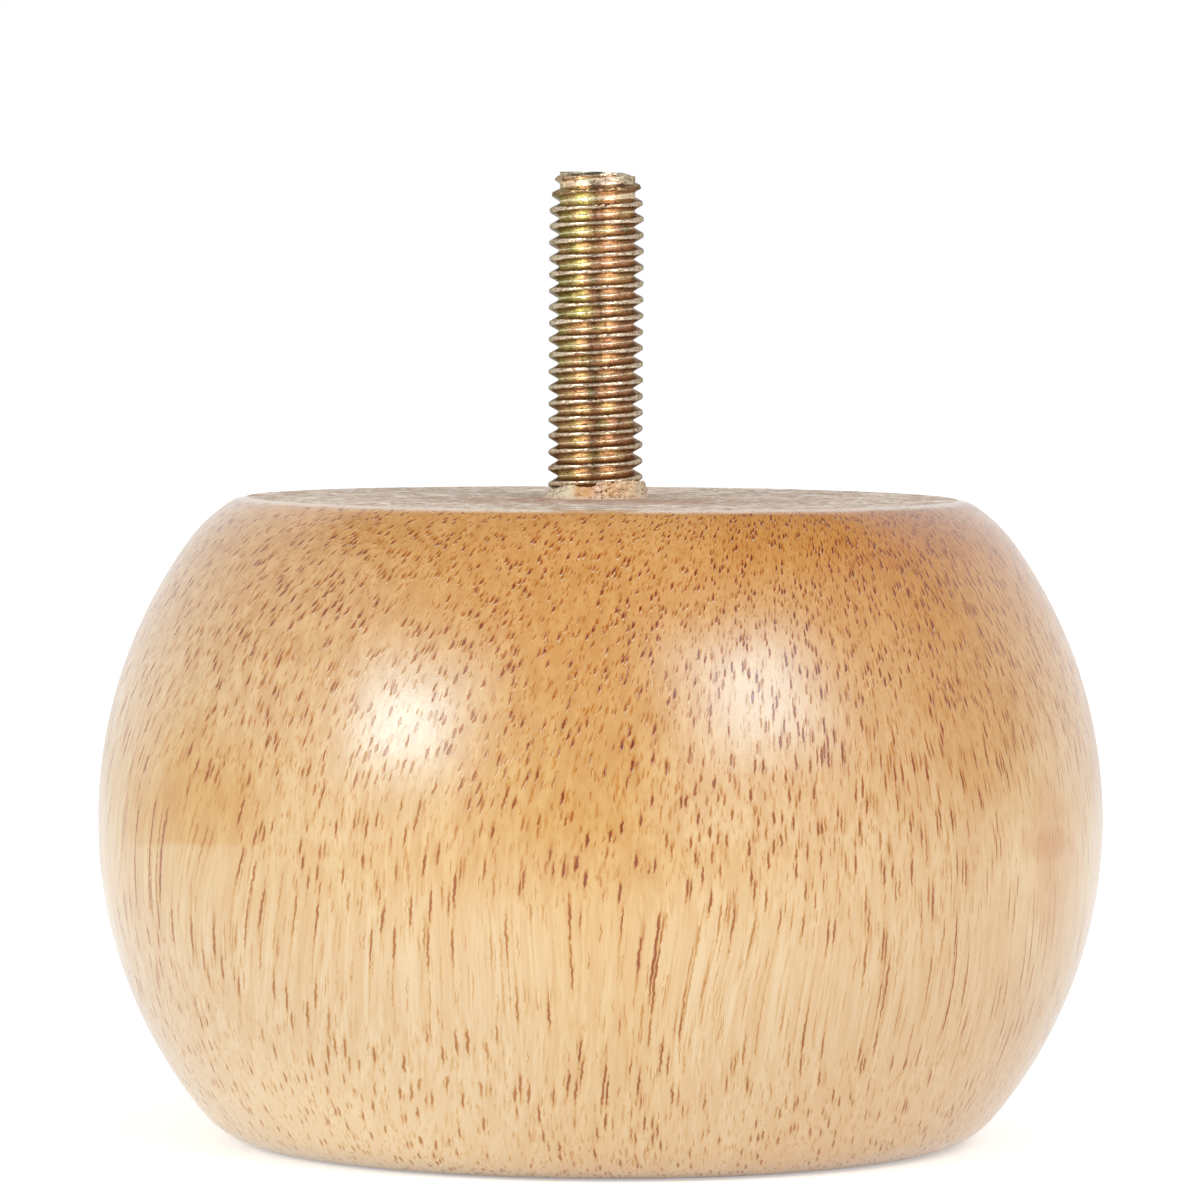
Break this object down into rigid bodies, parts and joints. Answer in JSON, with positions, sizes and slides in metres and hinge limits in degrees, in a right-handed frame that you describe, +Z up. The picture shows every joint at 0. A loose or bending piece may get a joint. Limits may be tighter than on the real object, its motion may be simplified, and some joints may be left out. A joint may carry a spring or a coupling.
{
  "type": "bun foot",
  "caption": "Turned wooden bun foot: a flattened ball with flat base and seat, and a threaded hanger bolt standing out of the seat to screw into furniture.",
  "frame": {"origin": "centre of the flat base, where the foot stands on the floor", "axes": "+Z up along the turning axis, through the seat and along the stud; +X to the right and -Y towards the viewer as pictured"},
  "size_m": [0.0992, 0.0992, 0.0956],
  "materials": {
    "lacquered_wood": "satin lacquer over an open-pored hardwood",
    "yellow_zinc_steel": "yellow zinc plate, iridescent",
    "dried_glue": "dried glue mixed with torn wood fibre, rough"
  },
  "bodies": {
    "root": {"bun_body": "lacquered_wood", "hanger_bolt": "yellow_zinc_steel", "glue_collar": "dried_glue"}
  },
  "joints": []
}
